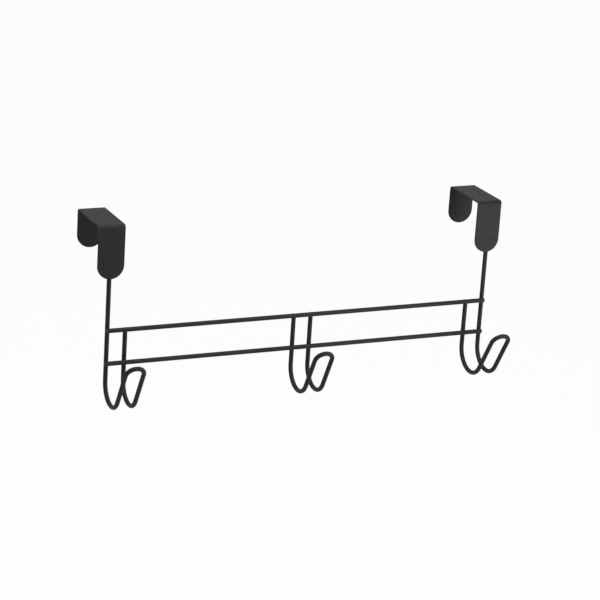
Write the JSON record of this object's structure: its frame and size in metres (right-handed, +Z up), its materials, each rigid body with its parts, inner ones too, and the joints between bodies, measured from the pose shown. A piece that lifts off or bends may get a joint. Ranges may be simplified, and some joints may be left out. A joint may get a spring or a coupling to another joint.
{
  "type": "over-door hook rail",
  "caption": "Wire rail with double hooks that hangs on the top edge of a door by bent sheet straps, for coats, bags and towels.",
  "frame": {"origin": "middle of the door's top edge: on the seats under the straps, half way between the straps and half way across the door gap", "axes": "+X along the door to the right as seen from the front, +Y through the door from front to back, +Z up"},
  "size_m": [0.398, 0.1164, 0.1664],
  "materials": {
    "powder_coat": "semi-matt black powder coat on steel"
  },
  "bodies": {
    "root": {"left_strap": "powder_coat", "right_strap": "powder_coat", "left_hook": "powder_coat", "centre_hook": "powder_coat", "right_hook": "powder_coat", "top_rail": "powder_coat", "bottom_rail": "powder_coat"}
  },
  "joints": []
}
